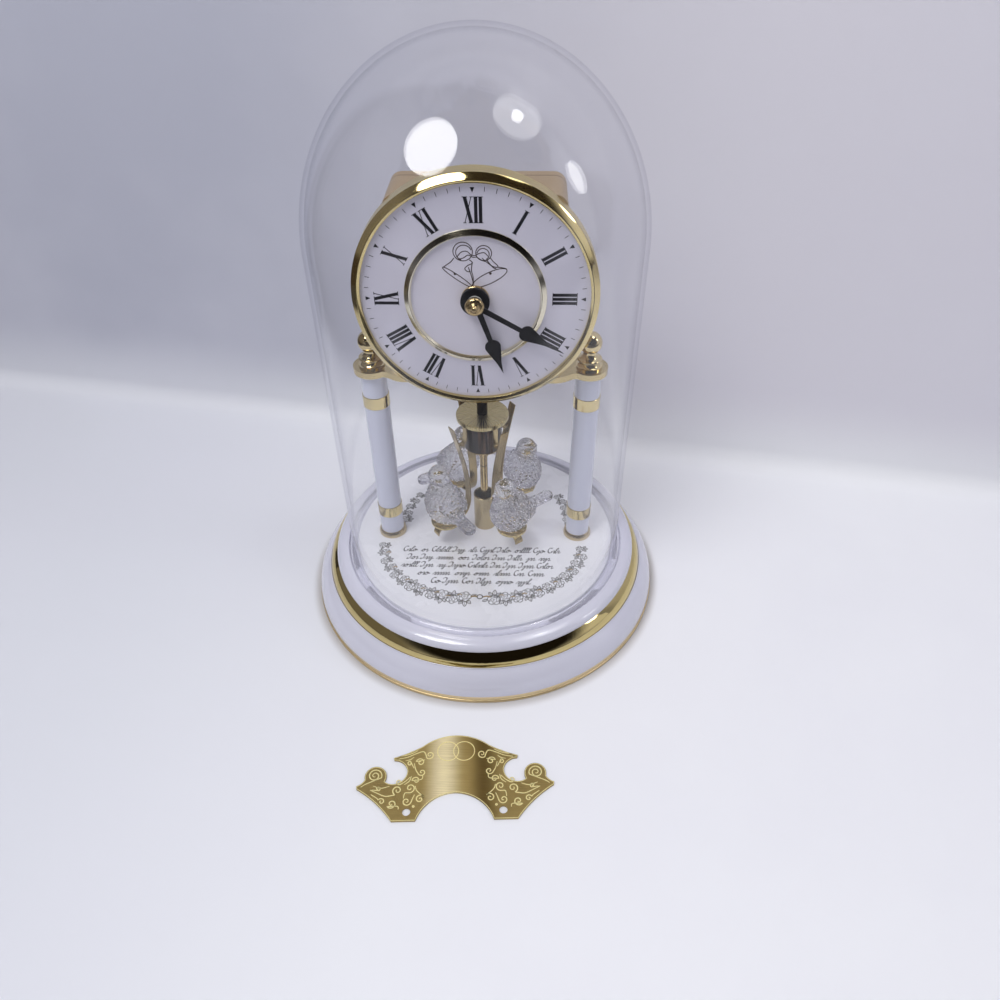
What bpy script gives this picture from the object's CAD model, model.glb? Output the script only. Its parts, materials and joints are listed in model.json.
"""Anniversary clock under a glass dome, in metres.

It stands on z = 0, centred near the Z axis, and its dial faces -Y, which is the front.
A pendulum with four crystal birds hangs below the dial, over a printed floor disc.
"""
import json
import math
import random
from functools import cached_property

import bpy
import numpy as np
from mathutils import Matrix, Vector, noise

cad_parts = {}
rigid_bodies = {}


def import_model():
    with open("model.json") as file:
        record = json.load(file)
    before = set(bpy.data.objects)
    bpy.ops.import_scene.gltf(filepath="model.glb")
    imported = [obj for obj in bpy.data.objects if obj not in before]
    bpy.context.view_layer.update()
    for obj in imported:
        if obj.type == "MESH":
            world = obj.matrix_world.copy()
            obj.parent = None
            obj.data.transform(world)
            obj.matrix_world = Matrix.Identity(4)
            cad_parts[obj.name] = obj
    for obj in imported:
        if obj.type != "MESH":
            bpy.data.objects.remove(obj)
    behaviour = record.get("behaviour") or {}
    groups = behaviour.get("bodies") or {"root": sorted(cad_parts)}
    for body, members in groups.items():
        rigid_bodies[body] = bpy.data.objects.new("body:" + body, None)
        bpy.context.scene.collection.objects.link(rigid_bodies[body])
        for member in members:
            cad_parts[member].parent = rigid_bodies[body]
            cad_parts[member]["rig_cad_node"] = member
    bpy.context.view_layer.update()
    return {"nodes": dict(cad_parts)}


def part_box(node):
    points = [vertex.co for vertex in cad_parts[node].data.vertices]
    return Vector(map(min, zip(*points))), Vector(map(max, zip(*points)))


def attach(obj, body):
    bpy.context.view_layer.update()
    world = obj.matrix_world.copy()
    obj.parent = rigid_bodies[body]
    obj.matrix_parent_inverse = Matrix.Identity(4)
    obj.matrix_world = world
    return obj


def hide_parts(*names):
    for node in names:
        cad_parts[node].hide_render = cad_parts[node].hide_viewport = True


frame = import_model()
scene = bpy.context.scene
for extra in ("Cube", "Light", "Camera"):
    if extra in bpy.data.objects and "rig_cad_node" not in bpy.data.objects[extra]:
        bpy.data.objects.remove(bpy.data.objects[extra])

MM = 0.001
DIAL_CENTRE = (0, 0, 0.146)             # dial axis, along Y
PENDULUM_CENTRE = (0, 0.0054, 0)        # pendulum axis, along Z
CREST_X, CREST_Y = -0.00565, -0.1267    # origin of the crest outline


# ------------------------------------------------------------------ node helpers
def rgb(r, g, b):
    """sRGB 0..255 to a linear colour with alpha."""
    out = []
    for c in (r, g, b):
        c /= 255.0
        out.append(c / 12.92 if c <= 0.04045 else ((c + 0.055) / 1.055) ** 2.4)
    return (*out, 1.0)


def dim(colour, factor):
    return tuple(c * factor for c in colour[:3]) + (1.0,)


class Net:
    """Builds the node tree of one material or world. Coordinates are object metres."""

    def __init__(self, owner):
        owner.use_nodes = True
        self.owner, self.tree = owner, owner.node_tree
        self.tree.nodes.clear()

    def feed(self, socket, value):
        """Link a node or socket, or set a plain value."""
        if isinstance(value, bpy.types.Node):
            value = value.outputs[0]
        if isinstance(value, bpy.types.NodeSocket):
            self.tree.links.new(value, socket)
        else:
            socket.default_value = value

    def n(self, kind, *values, props=None, **named):
        """New node: values fill its first inputs, named ones use _ for a space."""
        node = self.tree.nodes.new(kind)
        for key, value in (props or {}).items():
            setattr(node, key, value)
        for i, value in enumerate(values):
            self.feed(node.inputs[i], value)
        for key, value in named.items():
            self.feed(node.inputs[key.replace("_", " ")], value)
        return node

    def math(self, operation, a, b=0.0, clamp=False):
        props = {"operation": operation, "use_clamp": clamp}
        return self.n("ShaderNodeMath", a, b, props=props).outputs[0]

    def add(self, a, b, clamp=False):
        return self.math("ADD", a, b, clamp)

    def sub(self, a, b):
        return self.math("SUBTRACT", a, b)

    def mul(self, a, b):
        return self.math("MULTIPLY", a, b)

    def linear(self, value, gain, base):
        return self.add(self.mul(value, gain), base)

    def obj(self):
        return self.n("ShaderNodeTexCoord").outputs["Object"]

    def xyz(self, vector):
        return tuple(self.n("ShaderNodeSeparateXYZ", vector).outputs)

    def stretch(self, *axes):
        """Vector from three entries, each (coordinate, cells per unit) or taken as it is."""
        parts = [self.mul(*axis) if isinstance(axis, tuple) else axis for axis in axes]
        return self.n("ShaderNodeCombineXYZ", *parts).outputs[0]

    def noise(self, vector, scale=1.0, detail=3.0, rough=0.55):
        return self.n("ShaderNodeTexNoise", Vector=vector, Scale=scale, Detail=detail,
                      Roughness=rough).outputs[0]

    def voronoi(self, vector, feature="F1", **inputs):
        return self.n("ShaderNodeTexVoronoi", props={"feature": feature}, Vector=vector, **inputs)

    def ramp(self, value, span, to=(0.0, 1.0)):
        """Smooth step across the span, mapped onto the range `to`."""
        return self.n("ShaderNodeMapRange", value, *span, *to,
                      props={"interpolation_type": "SMOOTHSTEP"}).outputs[0]

    def near(self, offset, span, peak=1.0):
        """Peak where the offset is small, falling to 0 across the span on either side."""
        return self.ramp(self.math("ABSOLUTE", offset), span, to=(peak, 0.0))

    def mix(self, factor, a, b, data_type="RGBA"):
        first, result = {"RGBA": (6, 2), "FLOAT": (2, 0)}[data_type]
        node = self.n("ShaderNodeMix", factor, props={"data_type": data_type})
        self.feed(node.inputs[first], a)
        self.feed(node.inputs[first + 1], b)
        return node.outputs[result]

    def fade(self, value, a, b, span, amount=1.0):
        """Colour a turning into b as the value crosses the span, up to the amount."""
        return self.mix(self.ramp(value, span, to=(0.0, amount)), a, b)

    def bump(self, height, strength, depth):
        return self.n("ShaderNodeBump", Strength=strength, Distance=depth, Height=height).outputs[0]

    def light_path(self):
        return self.n("ShaderNodeLightPath").outputs

    def mix_shader(self, factor, a, b):
        return self.n("ShaderNodeMixShader", factor, a, b)

    def principled(self, colour, **inputs):
        return self.n("ShaderNodeBsdfPrincipled", Base_Color=colour, **inputs)

    def out(self, shader):
        self.n("ShaderNodeOutputMaterial", Surface=shader)
        return self.owner


class TurnAxis:
    """Cylindrical coordinates about a Z or Y axis; each makes its nodes when first used."""

    def __init__(self, net, centre, axis):
        self.net, self.centre, self.position = net, centre, net.xyz(net.obj())
        self.order = {"z": (0, 1, 2), "y": (0, 2, 1)}[axis]

    def offset(self, i):
        i = self.order[i]
        return self.net.sub(self.position[i], self.centre[i])

    @cached_property
    def across(self):
        return self.offset(0), self.offset(1)

    @cached_property
    def radius(self):
        squares = [self.net.mul(side, side) for side in self.across]
        return self.net.math("SQRT", self.net.add(*squares))

    @cached_property
    def angle(self):
        return self.net.math("ARCTAN2", self.across[1], self.across[0])

    @cached_property
    def along(self):
        return self.offset(2)


def new_net(name):
    return Net(bpy.data.materials.new(name))


# ------------------------------------------------------------------ materials
def metal(name, colour, rough, finish="polish", depth=1.0, centre=(0, 0, 0), axis="z",
          tarnish=0.25):
    """Brass, gold and steel: colour drift, fine lines of the finish, and soft tarnish."""
    net = new_net(name)
    pos = net.obj()
    dark = dim(colour, 0.72)
    col = net.fade(net.noise(pos, scale=90.0, detail=4.0), colour, dark,
                   span=(0.42, 0.75), amount=tarnish)
    col = net.fade(net.noise(pos, scale=1400.0, detail=2.0), col, dark,
                   span=(0.68, 0.8), amount=0.35)
    if finish == "turned":
        turn = TurnAxis(net, centre, axis)
        grain = net.stretch((turn.radius, 9000.0), (turn.angle, 0.6), (turn.along, 9000.0))
        height = lines = net.noise(grain, rough=0.7)
        relief = dict(strength=0.35 * depth, depth=0.00004)
    elif finish == "spun":
        turn = TurnAxis(net, centre, axis)
        grain = net.stretch((turn.angle, 60.0), (turn.radius, 60.0), 0.0)
        height = lines = net.noise(grain, rough=0.7)
        relief = dict(strength=0.5 * depth, depth=0.00006)
    elif finish == "brushed":
        x, y, z = net.xyz(pos)
        grain = net.stretch((x, 60.0), (y, 5200.0), (z, 5200.0))
        height = lines = net.noise(grain, detail=4.0, rough=0.7)
        relief = dict(strength=0.4 * depth, depth=0.00004)
    else:
        x, y, z = net.xyz(pos)
        grain = net.stretch((x, 220.0), (y, 4200.0), (z, 900.0))
        lines = net.ramp(net.noise(grain, detail=2.0), span=(0.55, 0.9))
        height = net.noise(pos, scale=260.0)
        relief = dict(strength=0.10 * depth, depth=0.0002)
    roughness = net.linear(net.ramp(lines, span=(0.3, 0.7)), gain=rough * 0.5, base=rough * 0.75)
    return net.out(net.principled(col, Metallic=1.0, Roughness=roughness,
                                  Normal=net.bump(height, **relief)))


def enamel(name, colour, rough=0.12, speckled=False, coat=0.6, gilt_below=None):
    """Glossy enamel with orange peel, optional dark specks and a gilt foot."""
    net = new_net(name)
    pos = net.obj()
    col = net.fade(net.noise(pos, scale=14.0, detail=2.0), colour, dim(colour, 0.93),
                   span=(0.35, 0.7), amount=0.5)
    if speckled:
        cells = net.voronoi(pos, Scale=95.0).outputs
        dot = net.ramp(cells["Distance"], span=(0.016, 0.03), to=(1.0, 0.0))
        chosen = net.math("GREATER_THAN",
                          net.noise(cells["Position"], scale=300.0, detail=1.0), 0.62)
        col = net.mix(net.mul(net.mul(dot, chosen), 0.55), col, rgb(92, 92, 120))
    peel = net.noise(pos, scale=700.0, detail=2.0)
    roughness = net.linear(net.noise(pos, scale=60.0), gain=0.10, base=rough)
    metallic = 0.0
    if gilt_below:
        foot = net.math("LESS_THAN", net.xyz(pos)[2], gilt_below)
        col = net.mix(foot, col, rgb(228, 206, 160))
        metallic = net.mul(foot, 0.9)
    return net.out(net.principled(
        col, Metallic=metallic, Roughness=roughness, Coat_Weight=coat, Coat_Roughness=0.05,
        Normal=net.bump(peel, strength=0.06, depth=0.0003)))


def plastic(name, colour, rough, metallic=0.0):
    net = new_net(name)
    pos = net.obj()
    col = net.fade(net.noise(pos, scale=35.0, detail=4.0), colour, dim(colour, 0.86),
                   span=(0.35, 0.7), amount=0.6)
    grain = net.noise(pos, scale=900.0)
    return net.out(net.principled(
        col, Roughness=net.linear(grain, gain=0.25, base=rough - 0.1), Metallic=metallic,
        Normal=net.bump(grain, strength=0.25, depth=0.0001)))


def case_paint():
    """Champagne paint with the dark moulding joint between case and lid."""
    net = new_net("case_champagne_joint")
    pos = net.obj()
    joint = net.near(net.sub(net.xyz(pos)[1], 0.0090), span=(0.00012, 0.0003))
    col = net.fade(net.noise(pos, scale=40.0, detail=4.0), rgb(178, 156, 124),
                   rgb(158, 136, 104), span=(0.35, 0.7), amount=0.5)
    col = net.mix(joint, col, rgb(52, 36, 26))
    grain = net.noise(pos, scale=1100.0)
    return net.out(net.principled(
        col, Metallic=0.35, Roughness=net.linear(grain, gain=0.2, base=0.26),
        Normal=net.bump(grain, strength=0.18, depth=0.00008)))


def drum_lacquer():
    """Near black gloss lacquer with faint brown streaks and bare gilt edges."""
    net = new_net("drum_dark_lacquer")
    turn = TurnAxis(net, PENDULUM_CENTRE, "z")
    streak = net.noise(net.stretch((turn.angle, 5.0), 0.0, (turn.along, 20.0)), rough=0.6)
    col = net.fade(streak, rgb(24, 19, 20), rgb(104, 78, 58), span=(0.42, 0.68))
    low = net.math("LESS_THAN", turn.along, 0.0689)
    high = net.math("GREATER_THAN", turn.along, 0.0812)
    edge = net.add(low, high, clamp=True)
    col = net.mix(edge, col, rgb(206, 182, 126))
    return net.out(net.principled(
        col, Metallic=net.math("MAXIMUM", edge, 0.55), Roughness=0.12,
        Normal=net.bump(streak, strength=0.05, depth=0.0002)))


def rod_metal():
    """Turned rod: bright below, dark lacquered above, with a fine joint lower down."""
    net = new_net("rod_two_finish")
    along = TurnAxis(net, PENDULUM_CENTRE, "z").along
    lines = net.noise(net.stretch(0.0, 0.0, (along, 6000.0)), rough=0.7)
    col = net.fade(along, rgb(208, 186, 138), rgb(44, 36, 32), span=(0.0838, 0.0846))
    joint = net.near(net.sub(along, 0.0575), span=(0.0002, 0.00045))
    col = net.mix(net.mul(joint, 0.75), col, rgb(70, 52, 34))
    return net.out(net.principled(
        col, Metallic=0.95, Roughness=net.linear(lines, gain=0.14, base=0.1),
        Normal=net.bump(lines, strength=0.12, depth=0.00004)))


def crest_metal():
    """Brass plate brushed along its length, with a light and a dark band across it."""
    net = new_net("crest_brass_brushed")
    pos = net.obj()
    x, y, _ = net.xyz(pos)
    lean = 0.052    # sideways drift of the bands per metre of depth
    across = net.add(x, net.mul(net.add(y, -CREST_Y), lean))
    across = net.add(across, -CREST_X)
    lines = net.noise(net.stretch((x, 70.0), (y, 4200.0), 0.0), detail=4.0, rough=0.7)
    col = net.fade(net.noise(pos, scale=120.0), rgb(170, 148, 92), rgb(148, 124, 70),
                   span=(0.4, 0.75), amount=0.25)
    light = net.near(net.add(across, 0.0045), span=(0.0, 0.0085))
    col = net.mix(light, col, rgb(246, 232, 186))
    shade = net.near(net.sub(across, 0.0105), span=(0.0, 0.0075), peak=0.85)
    col = net.mix(shade, col, rgb(84, 64, 28))
    col = net.fade(lines, col, rgb(128, 108, 62), span=(0.3, 0.7), amount=0.35)
    return net.out(net.principled(
        col, Metallic=0.92, Roughness=net.linear(lines, gain=0.12, base=0.26),
        Normal=net.bump(lines, strength=0.2, depth=0.00004)))


def bezel_metal():
    """Bright front slope, brushed barrel, on one turned ring."""
    net = new_net("bezel_brass_two_finish")
    turn = TurnAxis(net, DIAL_CENTRE, "y")
    front = net.ramp(turn.along, span=(-0.01565, -0.01545), to=(1.0, 0.0))
    grain = net.stretch((turn.radius, 8000.0), (turn.angle, 0.8), (turn.along, 8000.0))
    lines = net.noise(grain, rough=0.7)
    streak = net.noise(net.stretch((turn.angle, 40.0), 0.0, 0.0), detail=4.0, rough=0.7)
    col = net.fade(net.noise(net.obj(), scale=70.0), rgb(226, 208, 150), rgb(196, 172, 108),
                   span=(0.4, 0.75), amount=0.3)
    barrel_rough = net.linear(streak, gain=0.1, base=0.24)
    front_rough = 0.07
    strength = net.ramp(front, span=(0.0, 1.0), to=(0.12, 0.01))
    return net.out(net.principled(
        col, Metallic=1.0, Roughness=net.mix(front, barrel_rough, front_rough, "FLOAT"),
        Normal=net.bump(lines, strength, depth=0.00004)))


def ring_metal():
    """Pale gold ring, darkened on its upper half between two radii."""
    net = new_net("dial_ring_gold")
    turn = TurnAxis(net, DIAL_CENTRE, "y")
    lines = net.noise(net.stretch((turn.radius, 9000.0), turn.angle, 0.0), rough=0.7)
    col = net.fade(net.noise(net.obj(), scale=60.0), rgb(250, 244, 220), rgb(226, 212, 168),
                   span=(0.4, 0.8), amount=0.3)
    upper = net.ramp(net.xyz(net.obj())[2], span=(0.150, 0.163))
    outer = net.mul(net.ramp(turn.radius, span=(0.02285, 0.02305)),
                    net.ramp(turn.radius, span=(0.02435, 0.02425)))
    col = net.mix(net.mul(net.mul(upper, outer), 0.85), col, rgb(52, 44, 30))
    return net.out(net.principled(col, Metallic=1.0, Roughness=0.14,
                                  Normal=net.bump(lines, strength=0.15, depth=0.00003)))


def dial_paint():
    """Silky lavender white dial with a faint woven sheen and a soft vignette."""
    net = new_net("dial_white_silk")
    x, _, z = net.xyz(net.obj())
    col = net.fade(TurnAxis(net, DIAL_CENTRE, "y").radius, rgb(226, 222, 230),
                   rgb(212, 210, 222), span=(0.0, 0.04))
    weave = net.noise(net.stretch((x, 2600.0), 0.0, (z, 300.0)), detail=2.0)
    col = net.fade(weave, col, rgb(190, 188, 206), span=(0.3, 0.7), amount=0.10)
    return net.out(net.principled(
        col, Roughness=net.linear(weave, gain=0.14, base=0.3), Sheen_Weight=0.15,
        Normal=net.bump(weave, strength=0.06, depth=0.00003)))


def hand_paint():
    net = new_net("hand_black_lacquer")
    grain = net.noise(net.obj(), scale=1600.0)
    col = net.fade(grain, rgb(9, 10, 16), rgb(20, 21, 30), span=(0.4, 0.7), amount=0.5)
    return net.out(net.principled(
        col, Roughness=net.linear(grain, gain=0.2, base=0.38),
        Normal=net.bump(grain, strength=0.1, depth=0.00005)))


def print_ink(name, colour, metallic=0.0, rough=0.45):
    """Ink with patches a little brighter than its colour."""
    net = new_net(name)
    grain = net.noise(net.obj(), scale=2600.0)
    bright = tuple(min(1.0, c * 1.7 + 0.01) for c in colour[:3]) + (1.0,)
    col = net.fade(grain, colour, bright, span=(0.35, 0.75), amount=0.6)
    return net.out(net.principled(
        col, Metallic=metallic, Roughness=net.linear(grain, gain=0.2, base=rough - 0.1)))


def copper_winding():
    net = new_net("copper_winding_turns")
    turns = net.n("ShaderNodeTexWave", props={"wave_type": "BANDS", "bands_direction": "X"},
                  Vector=net.obj(), Scale=2400.0, Distortion=0.4).outputs[1]
    col = net.mix(turns, rgb(150, 78, 40), rgb(214, 134, 78))
    return net.out(net.principled(col, Metallic=0.9, Roughness=0.32,
                                  Normal=net.bump(turns, strength=0.5, depth=0.0001)))


def board_mask():
    """Green solder mask with lighter tracks."""
    net = new_net("board_green_mask")
    pos = net.obj()
    cells = net.voronoi(pos, "DISTANCE_TO_EDGE", Scale=320.0)
    tracks = net.ramp(cells.outputs["Distance"], span=(0.03, 0.06), to=(1.0, 0.0))
    col = net.mix(tracks, rgb(20, 84, 46), rgb(44, 128, 74))
    # Both sides of y = 0 take the same colour; give them two to tell the faces apart.
    col = net.mix(net.math("LESS_THAN", net.xyz(pos)[1], 0.0), col, col)
    return net.out(net.principled(col, Roughness=0.3,
                                  Normal=net.bump(tracks, strength=0.2, depth=0.00005)))


def battery_skin():
    """Plain printed sleeve: a dark barrel, a copper coloured end band and bare metal ends."""
    net = new_net("battery_wrap_sleeve")
    pos = net.obj()
    x = net.xyz(pos)[0]
    band_x = 0.0105
    band = net.math("GREATER_THAN", x, band_x)
    col = net.mix(band, rgb(34, 40, 52), rgb(186, 118, 60))
    stripe = net.near(net.sub(x, band_x), span=(0.0003, 0.0005))
    col = net.mix(stripe, col, rgb(220, 216, 206))
    tip = net.math("GREATER_THAN", x, 0.0240)
    tail = net.math("LESS_THAN", x, -0.0239)
    ends = net.add(tip, tail, clamp=True)
    col = net.mix(ends, col, rgb(196, 196, 198))
    grain = net.noise(pos, scale=600.0)
    return net.out(net.principled(
        col, Metallic=net.mul(net.add(ends, band, clamp=True), 0.8),
        Roughness=net.linear(grain, gain=0.15, base=0.22),
        Normal=net.bump(grain, strength=0.05, depth=0.0001)))


def felt():
    net = new_net("felt_fibre")
    fibre = net.noise(net.obj(), scale=1500.0, detail=5.0, rough=0.8)
    col = net.fade(fibre, rgb(34, 58, 44), rgb(62, 92, 72), span=(0.3, 0.7))
    return net.out(net.principled(col, Roughness=0.95, Sheen_Weight=0.5,
                                  Normal=net.bump(fibre, strength=0.9, depth=0.0004)))


def dome_glass():
    """Thin blown glass: straight through with a reflection that grows towards the edges,
    a grey cast at the rim, faint handling marks."""
    net = new_net("dome_glass_thin")
    x, y, z = net.xyz(net.obj())
    near_white = (0.985, 0.985, 0.99, 1)
    facing = net.n("ShaderNodeLayerWeight", Blend=0.5).outputs["Facing"]
    fresnel = net.linear(net.math("POWER", facing, 5.0), gain=0.80, base=0.036)
    tint = net.fade(facing, near_white, (0.80, 0.80, 0.845, 1), span=(0.72, 1.0))
    rim = net.ramp(z, span=(0.0246, 0.0236))
    clear = net.n("ShaderNodeBsdfTransparent", Color=net.mix(rim, tint, near_white))
    wave = net.noise(net.stretch((x, 1.0), y, (z, 0.5)), scale=26.0, detail=2.0)
    mirror = net.n("ShaderNodeBsdfGlossy", Color=(1, 1, 1, 1), Roughness=0.03,
                   Normal=net.bump(wave, strength=0.10, depth=0.002))
    body = net.mix_shader(fresnel, clear, mirror)
    film = net.n("ShaderNodeBsdfDiffuse", Color=rgb(240, 240, 248))
    wisp = net.noise(net.stretch((x, 24.0), (y, 24.0), (z, 8.0)), detail=5.0, rough=0.7)
    right_side = net.ramp(x, span=(0.036, 0.054), to=(0.03, 1.0))
    marks = net.mul(net.ramp(wisp, span=(0.5, 0.85), to=(0.0, 0.09)), right_side)
    marks = net.add(marks, net.mul(rim, 0.22))
    body = net.mix_shader(marks, body, film)
    shadow = net.n("ShaderNodeBsdfTransparent", Color=(0.965, 0.965, 0.975, 1.0))
    return net.out(net.mix_shader(net.light_path()["Is Shadow Ray"], body, shadow))


def crystal():
    """Clear pressed crystal with a pebbled body. Shadow rays pass, so lamps still light
    what is inside."""
    net = new_net("crystal_clear")
    pos = net.obj()
    ior = 1.52
    cell = net.voronoi(pos, Scale=820.0, Randomness=0.9).outputs["Distance"]
    fine = net.noise(pos, scale=1500.0, detail=2.0)
    body = net.ramp(net.xyz(pos)[2], span=(0.0525, 0.0560), to=(1.0, 0.12))
    normal = net.bump(net.add(cell, net.mul(fine, 0.3)), net.mul(body, 0.5), depth=0.0003)
    tint = net.mix(fine, (0.975, 0.975, 0.985, 1), (0.995, 0.995, 0.995, 1))
    slant = net.n("ShaderNodeLayerWeight", Blend=0.5, Normal=normal).outputs["Facing"]
    tint = net.fade(slant, tint, (0.56, 0.55, 0.62, 1), span=(0.30, 0.95), amount=0.85)
    pit = net.mul(net.ramp(cell, span=(0.42, 0.66), to=(0.0, 0.55)), body)
    tint = net.mix(pit, tint, (0.60, 0.59, 0.66, 1))
    refraction = net.n("ShaderNodeBsdfRefraction", Color=tint, Roughness=0.0, IOR=ior,
                       Normal=normal)
    mirror = net.n("ShaderNodeBsdfGlossy", Color=(1, 1, 1, 1), Roughness=0.015, Normal=normal)
    fresnel = net.n("ShaderNodeFresnel", IOR=ior, Normal=normal)
    solid = net.mix_shader(fresnel, refraction, mirror)
    clear = net.n("ShaderNodeBsdfTransparent", Color=(0.84, 0.84, 0.87, 1.0))
    return net.out(net.mix_shader(net.light_path()["Is Shadow Ray"], solid, clear))


ABOUT_PENDULUM = dict(centre=PENDULUM_CENTRE)
ABOUT_DIAL = dict(centre=DIAL_CENTRE, axis="y")
# metal: name, colour, roughness, finish, depth of the finish
MATERIALS = {mat.name: mat for mat in (
    enamel("white_enamel_coat", rgb(210, 210, 223), speckled=True, gilt_below=0.0034),
    enamel("column_enamel_coat", rgb(210, 213, 228), rough=0.16),
    enamel("floor_enamel_coat", rgb(236, 237, 241), rough=0.22, coat=0.3),
    metal("gold_trim_satin", rgb(230, 208, 162), 0.36, "turned", 0.6),
    metal("polished_gold_mirror", rgb(210, 192, 134), 0.07, "polish", 1.6),
    metal("finial_gold_mirror", rgb(226, 208, 160), 0.08, "polish", 0.8),
    metal("band_gold_mirror", rgb(222, 204, 152), 0.12, "polish", 0.6),
    metal("platform_brass", rgb(206, 188, 140), 0.14, "brushed", 0.2),
    metal("ferrule_brass", rgb(206, 188, 152), 0.25, "turned", 0.5),
    metal("disc_brass_spun", rgb(196, 182, 136), 0.27, "spun", **ABOUT_PENDULUM),
    metal("cup_brass_turned", rgb(198, 182, 146), 0.2, "turned", **ABOUT_PENDULUM),
    metal("arm_brass_rolled", rgb(182, 164, 122), 0.2, "brushed", 0.4),
    metal("tray_brass", rgb(214, 196, 146), 0.14),
    metal("nut_brass_turned", rgb(196, 174, 130), 0.24, "turned", 1.5, **ABOUT_DIAL),
    metal("steel_zinc", rgb(190, 192, 196), 0.3, "brushed", tarnish=0.4),
    metal("magnet_steel_dark", rgb(120, 122, 128), 0.42, "turned", **ABOUT_PENDULUM),
    metal("pan_brass_brushed", rgb(200, 176, 120), 0.35, "turned", **ABOUT_DIAL),
    # Spare: the case paint without its joint. No piece wears it.
    plastic("case_champagne_paint", rgb(214, 186, 150), rough=0.36, metallic=0.55),
    plastic("case_black_moulded", rgb(30, 29, 31), rough=0.45),
    plastic("gear_plastic_white", rgb(232, 230, 222), rough=0.42),
    case_paint(), crest_metal(), drum_lacquer(), rod_metal(), bezel_metal(), ring_metal(),
    dial_paint(), hand_paint(),
    print_ink("numeral_ink", rgb(14, 14, 24)),
    print_ink("motif_ink", rgb(58, 44, 38)),
    print_ink("garland_ink", rgb(60, 56, 50)),
    print_ink("garland_gold", rgb(150, 122, 62), metallic=0.6, rough=0.35),
    print_ink("script_ink", rgb(34, 31, 34)),
    print_ink("engraving_bright", rgb(232, 216, 150), metallic=0.4, rough=0.5),
    copper_winding(), board_mask(), battery_skin(), felt(), dome_glass(), crystal(),
)}

# material: the loaded pieces that wear it; every other piece is crystal
WEARERS = {
    "white_enamel_coat": "base_shell",
    "floor_enamel_coat": "floor_disc",
    "column_enamel_coat": "left_column right_column",
    "gold_trim_satin": "base_foot_trim",
    "polished_gold_mirror": "base_gold_band",
    "finial_gold_mirror": "finials",
    "band_gold_mirror": "column_bands",
    "felt_fibre": "bottom_cover",
    "dome_glass_thin": "glass_dome",
    "ferrule_brass": "column_ferrules",
    "platform_brass": "platform_plate",
    "steel_zinc": "tie_rods tie_rod_nuts tie_rod_washers platform_screws case_screws stator "
                  "battery_contact_plus battery_contact_minus hanger_bracket",
    "bezel_brass_two_finish": "bezel",
    "pan_brass_brushed": "bezel_pan",
    "dial_white_silk": "dial_plate",
    "dial_ring_gold": "dial_ring",
    "nut_brass_turned": "bushing_nut hand_nut",
    "hand_black_lacquer": "hour_hand minute_hand",
    "gear_plastic_white": "centre_arbor hour_wheel minute_wheel third_wheel fourth_wheel "
                          "intermediate_wheel bearing_plate",
    "case_black_moulded": "setting_knob",
    "case_champagne_joint": "movement_case_front movement_case_back",
    "magnet_steel_dark": "rotor pendulum_magnet",
    "copper_winding_turns": "stepper_coil drive_coil",
    "board_green_mask": "circuit_board",
    "battery_wrap_sleeve": "battery",
    "rod_two_finish": "pendulum_rod",
    "disc_brass_spun": "pendulum_disc",
    "drum_dark_lacquer": "pendulum_drum",
    "arm_brass_rolled": "pendulum_arms arm_hooks",
    "tray_brass": "bird_trays",
    "cup_brass_turned": "guide_cup",
    "crest_brass_brushed": "crest_plate",
}


def paint_loaded_pieces():
    worn = {piece: name for name, pieces in WEARERS.items() for piece in pieces.split()}
    for piece, obj in frame["nodes"].items():
        mat = MATERIALS[worn.get(piece, "crystal_clear")]
        if not obj.data.materials:
            obj.data.materials.append(mat)
        for slot in obj.material_slots:
            slot.material = mat


paint_loaded_pieces()


def add_piece(name, mesh, material, body, replaces=None):
    """Object made from a mesh, riding on a body and perhaps replacing a loaded piece."""
    mesh.materials.append(MATERIALS[material])
    obj = bpy.data.objects.new(name, mesh)
    scene.collection.objects.link(obj)
    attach(obj, body)
    if replaces:
        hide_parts(replaces)


# ------------------------------------------------------------------ turned pieces
def lathe_mesh(name, profile, turns):
    """Turned shell from a closed profile of (radius, height) in millimetres; points on the
    axis become poles."""
    vertices, faces, rings = [], [], []
    for radius, height in profile:
        first = len(vertices)
        if radius < 1e-6:
            rings.append([first] * turns)
            vertices.append((0.0, 0.0, height * MM))
            continue
        rings.append(list(range(first, first + turns)))
        for i in range(turns):
            angle = 2 * math.pi * i / turns
            vertices.append((radius * MM * math.cos(angle), radius * MM * math.sin(angle),
                             height * MM))
    for ring, following in zip(rings, rings[1:] + rings[:1]):
        for j in range(turns):
            k = (j + 1) % turns
            corners = tuple(dict.fromkeys((ring[j], ring[k], following[k], following[j])))
            if len(corners) > 2:
                faces.append(corners)
    mesh = bpy.data.meshes.new(name)
    mesh.from_pydata(vertices, [], faces)
    mesh.validate()
    mesh.update()
    mesh.shade_smooth()
    return mesh


# Dome, in millimetres
DOME_RADIUS, DOME_WALL = 59.2, 1.6
DOME_SPRING, DOME_RISE = 160.9, 64.6    # height where the cap starts, and its rise
DOME_FOOT, RIM_RADIUS, RIM_ROUND = 21.2, 60.9, 0.6
DOME_INNER = DOME_RADIUS - DOME_WALL
DOME_LEVELS = [27.0, 40.0, 60.0, 80.0, 100.0, 120.0, 140.0, 152.0]
CAP_STEPS = 60


def dome_cap(radius, rise):
    """Quarter ellipse from the spring line to just short of the axis."""
    angles = [math.pi / 2 * k / CAP_STEPS for k in range(CAP_STEPS)]
    return [(radius * math.cos(t), DOME_SPRING + rise * math.sin(t)) for t in angles]


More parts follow.
